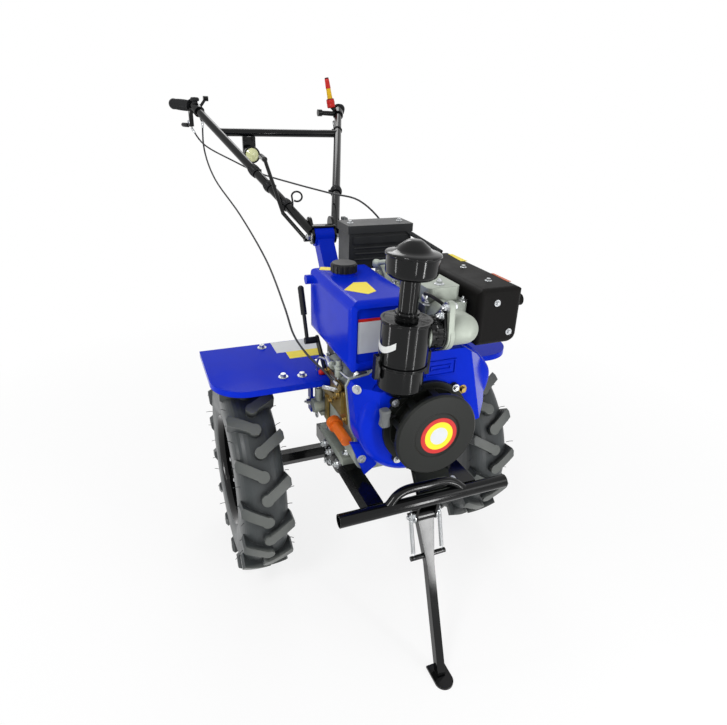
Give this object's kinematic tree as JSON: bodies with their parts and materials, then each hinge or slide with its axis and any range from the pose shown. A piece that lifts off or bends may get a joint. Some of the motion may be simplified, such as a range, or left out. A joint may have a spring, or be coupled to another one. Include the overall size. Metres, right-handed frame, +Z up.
{
  "type": "power tiller",
  "caption": "Two-wheeled walk-behind power tiller with a diesel engine on a rail frame, lugged tyres, flat fenders, a folding front stand and a tilting handlebar.",
  "frame": {"origin": "middle of the part's length and width, on the ground", "axes": "+X forward, +Y to the operator's left, +Z up"},
  "size_m": [1.7608, 0.852, 1.3526],
  "materials": {
    "tyre": "dark grey lugged rubber",
    "black_paint": "gloss black paint",
    "blue_paint": "royal blue gloss paint",
    "cast": "grey-green cast alloy",
    "gear_cast": "black painted iron casting",
    "exhaust": "matt black heat paint",
    "zinc": "yellow zinc plate",
    "spring": "bright zinc wire",
    "black_plastic": "satin black moulding",
    "orange_plastic": "orange moulding",
    "red_plastic": "red moulding",
    "grey_plastic": "grey moulding",
    "grip": "soft black rubber"
  },
  "bodies": {
    "chassis": {"rail_left": "black_paint", "rail_right": "black_paint", "front_plate": "black_paint", "bumper": "black_paint", "bumper_bow": "black_paint", "stand_bracket": "black_paint", "gearbox": "gear_cast", "hitch": "black_paint", "crankcase": "cast", "cylinder": "cast", "rocker_cover": "cast", "fan_shroud": "blue_paint", "recoil_cover": "black_paint", "recoil_handle": "black_plastic", "fuel_tank": "blue_paint", "tank_cap": "black_plastic", "cleaner_bowl": "black_paint", "cleaner_body": "black_paint", "cleaner_cap": "black_paint", "intake_elbow": "cast", "muffler": "exhaust", "governor_plate": "zinc", "fuel_pump": "cast", "dipstick": "orange_plastic", "speed_lever": "black_plastic", "fender_left": "blue_paint", "fender_right": "blue_paint", "rear_box": "black_paint", "handle_column": "blue_paint"},
    "wheel_left": {"tyre_left": "tyre", "rim_left": "black_paint", "hub_left": "black_paint"},
    "wheel_right": {"tyre_right": "tyre", "rim_right": "black_paint", "hub_right": "black_paint"},
    "stand": {"stand_leg": "black_paint", "spring_left": "spring", "spring_right": "spring"},
    "handlebar": {"handle_yoke": "black_paint", "arm_left": "black_paint", "arm_right": "black_paint", "crossbar": "black_paint", "grip_left": "grip", "grip_right": "grip", "lever_left": "red_plastic", "lever_right": "black_paint", "headlamp": "black_paint", "shift_lever": "black_paint", "clamp_knob": "grey_plastic", "clutch_cable": "black_plastic", "throttle_cable": "black_plastic", "stop_cable": "black_plastic"}
  },
  "joints": [
    {"name": "wheel_left_spin", "type": "hinge", "parent": "chassis", "child": "wheel_left", "pos_m": [0.22943, 0.333, 0.29], "axis": [0, 1, 0], "continuous": true},
    {"name": "wheel_right_spin", "type": "hinge", "parent": "chassis", "child": "wheel_right", "pos_m": [0.22943, -0.333, 0.29], "axis": [0, 1, 0], "continuous": true},
    {"name": "stand_fold", "type": "hinge", "parent": "chassis", "child": "stand", "pos_m": [0.69243, 0, 0.38], "axis": [0, 1, 0], "range_deg": [0, 85], "deforming": ["spring_left", "spring_right"]},
    {"name": "handlebar_tilt", "type": "hinge", "parent": "chassis", "child": "handlebar", "pos_m": [-0.07057, 0, 0.88], "axis": [0, 1, 0], "range_deg": [-12, 18], "deforming": ["clutch_cable", "throttle_cable", "stop_cable"]}
  ]
}
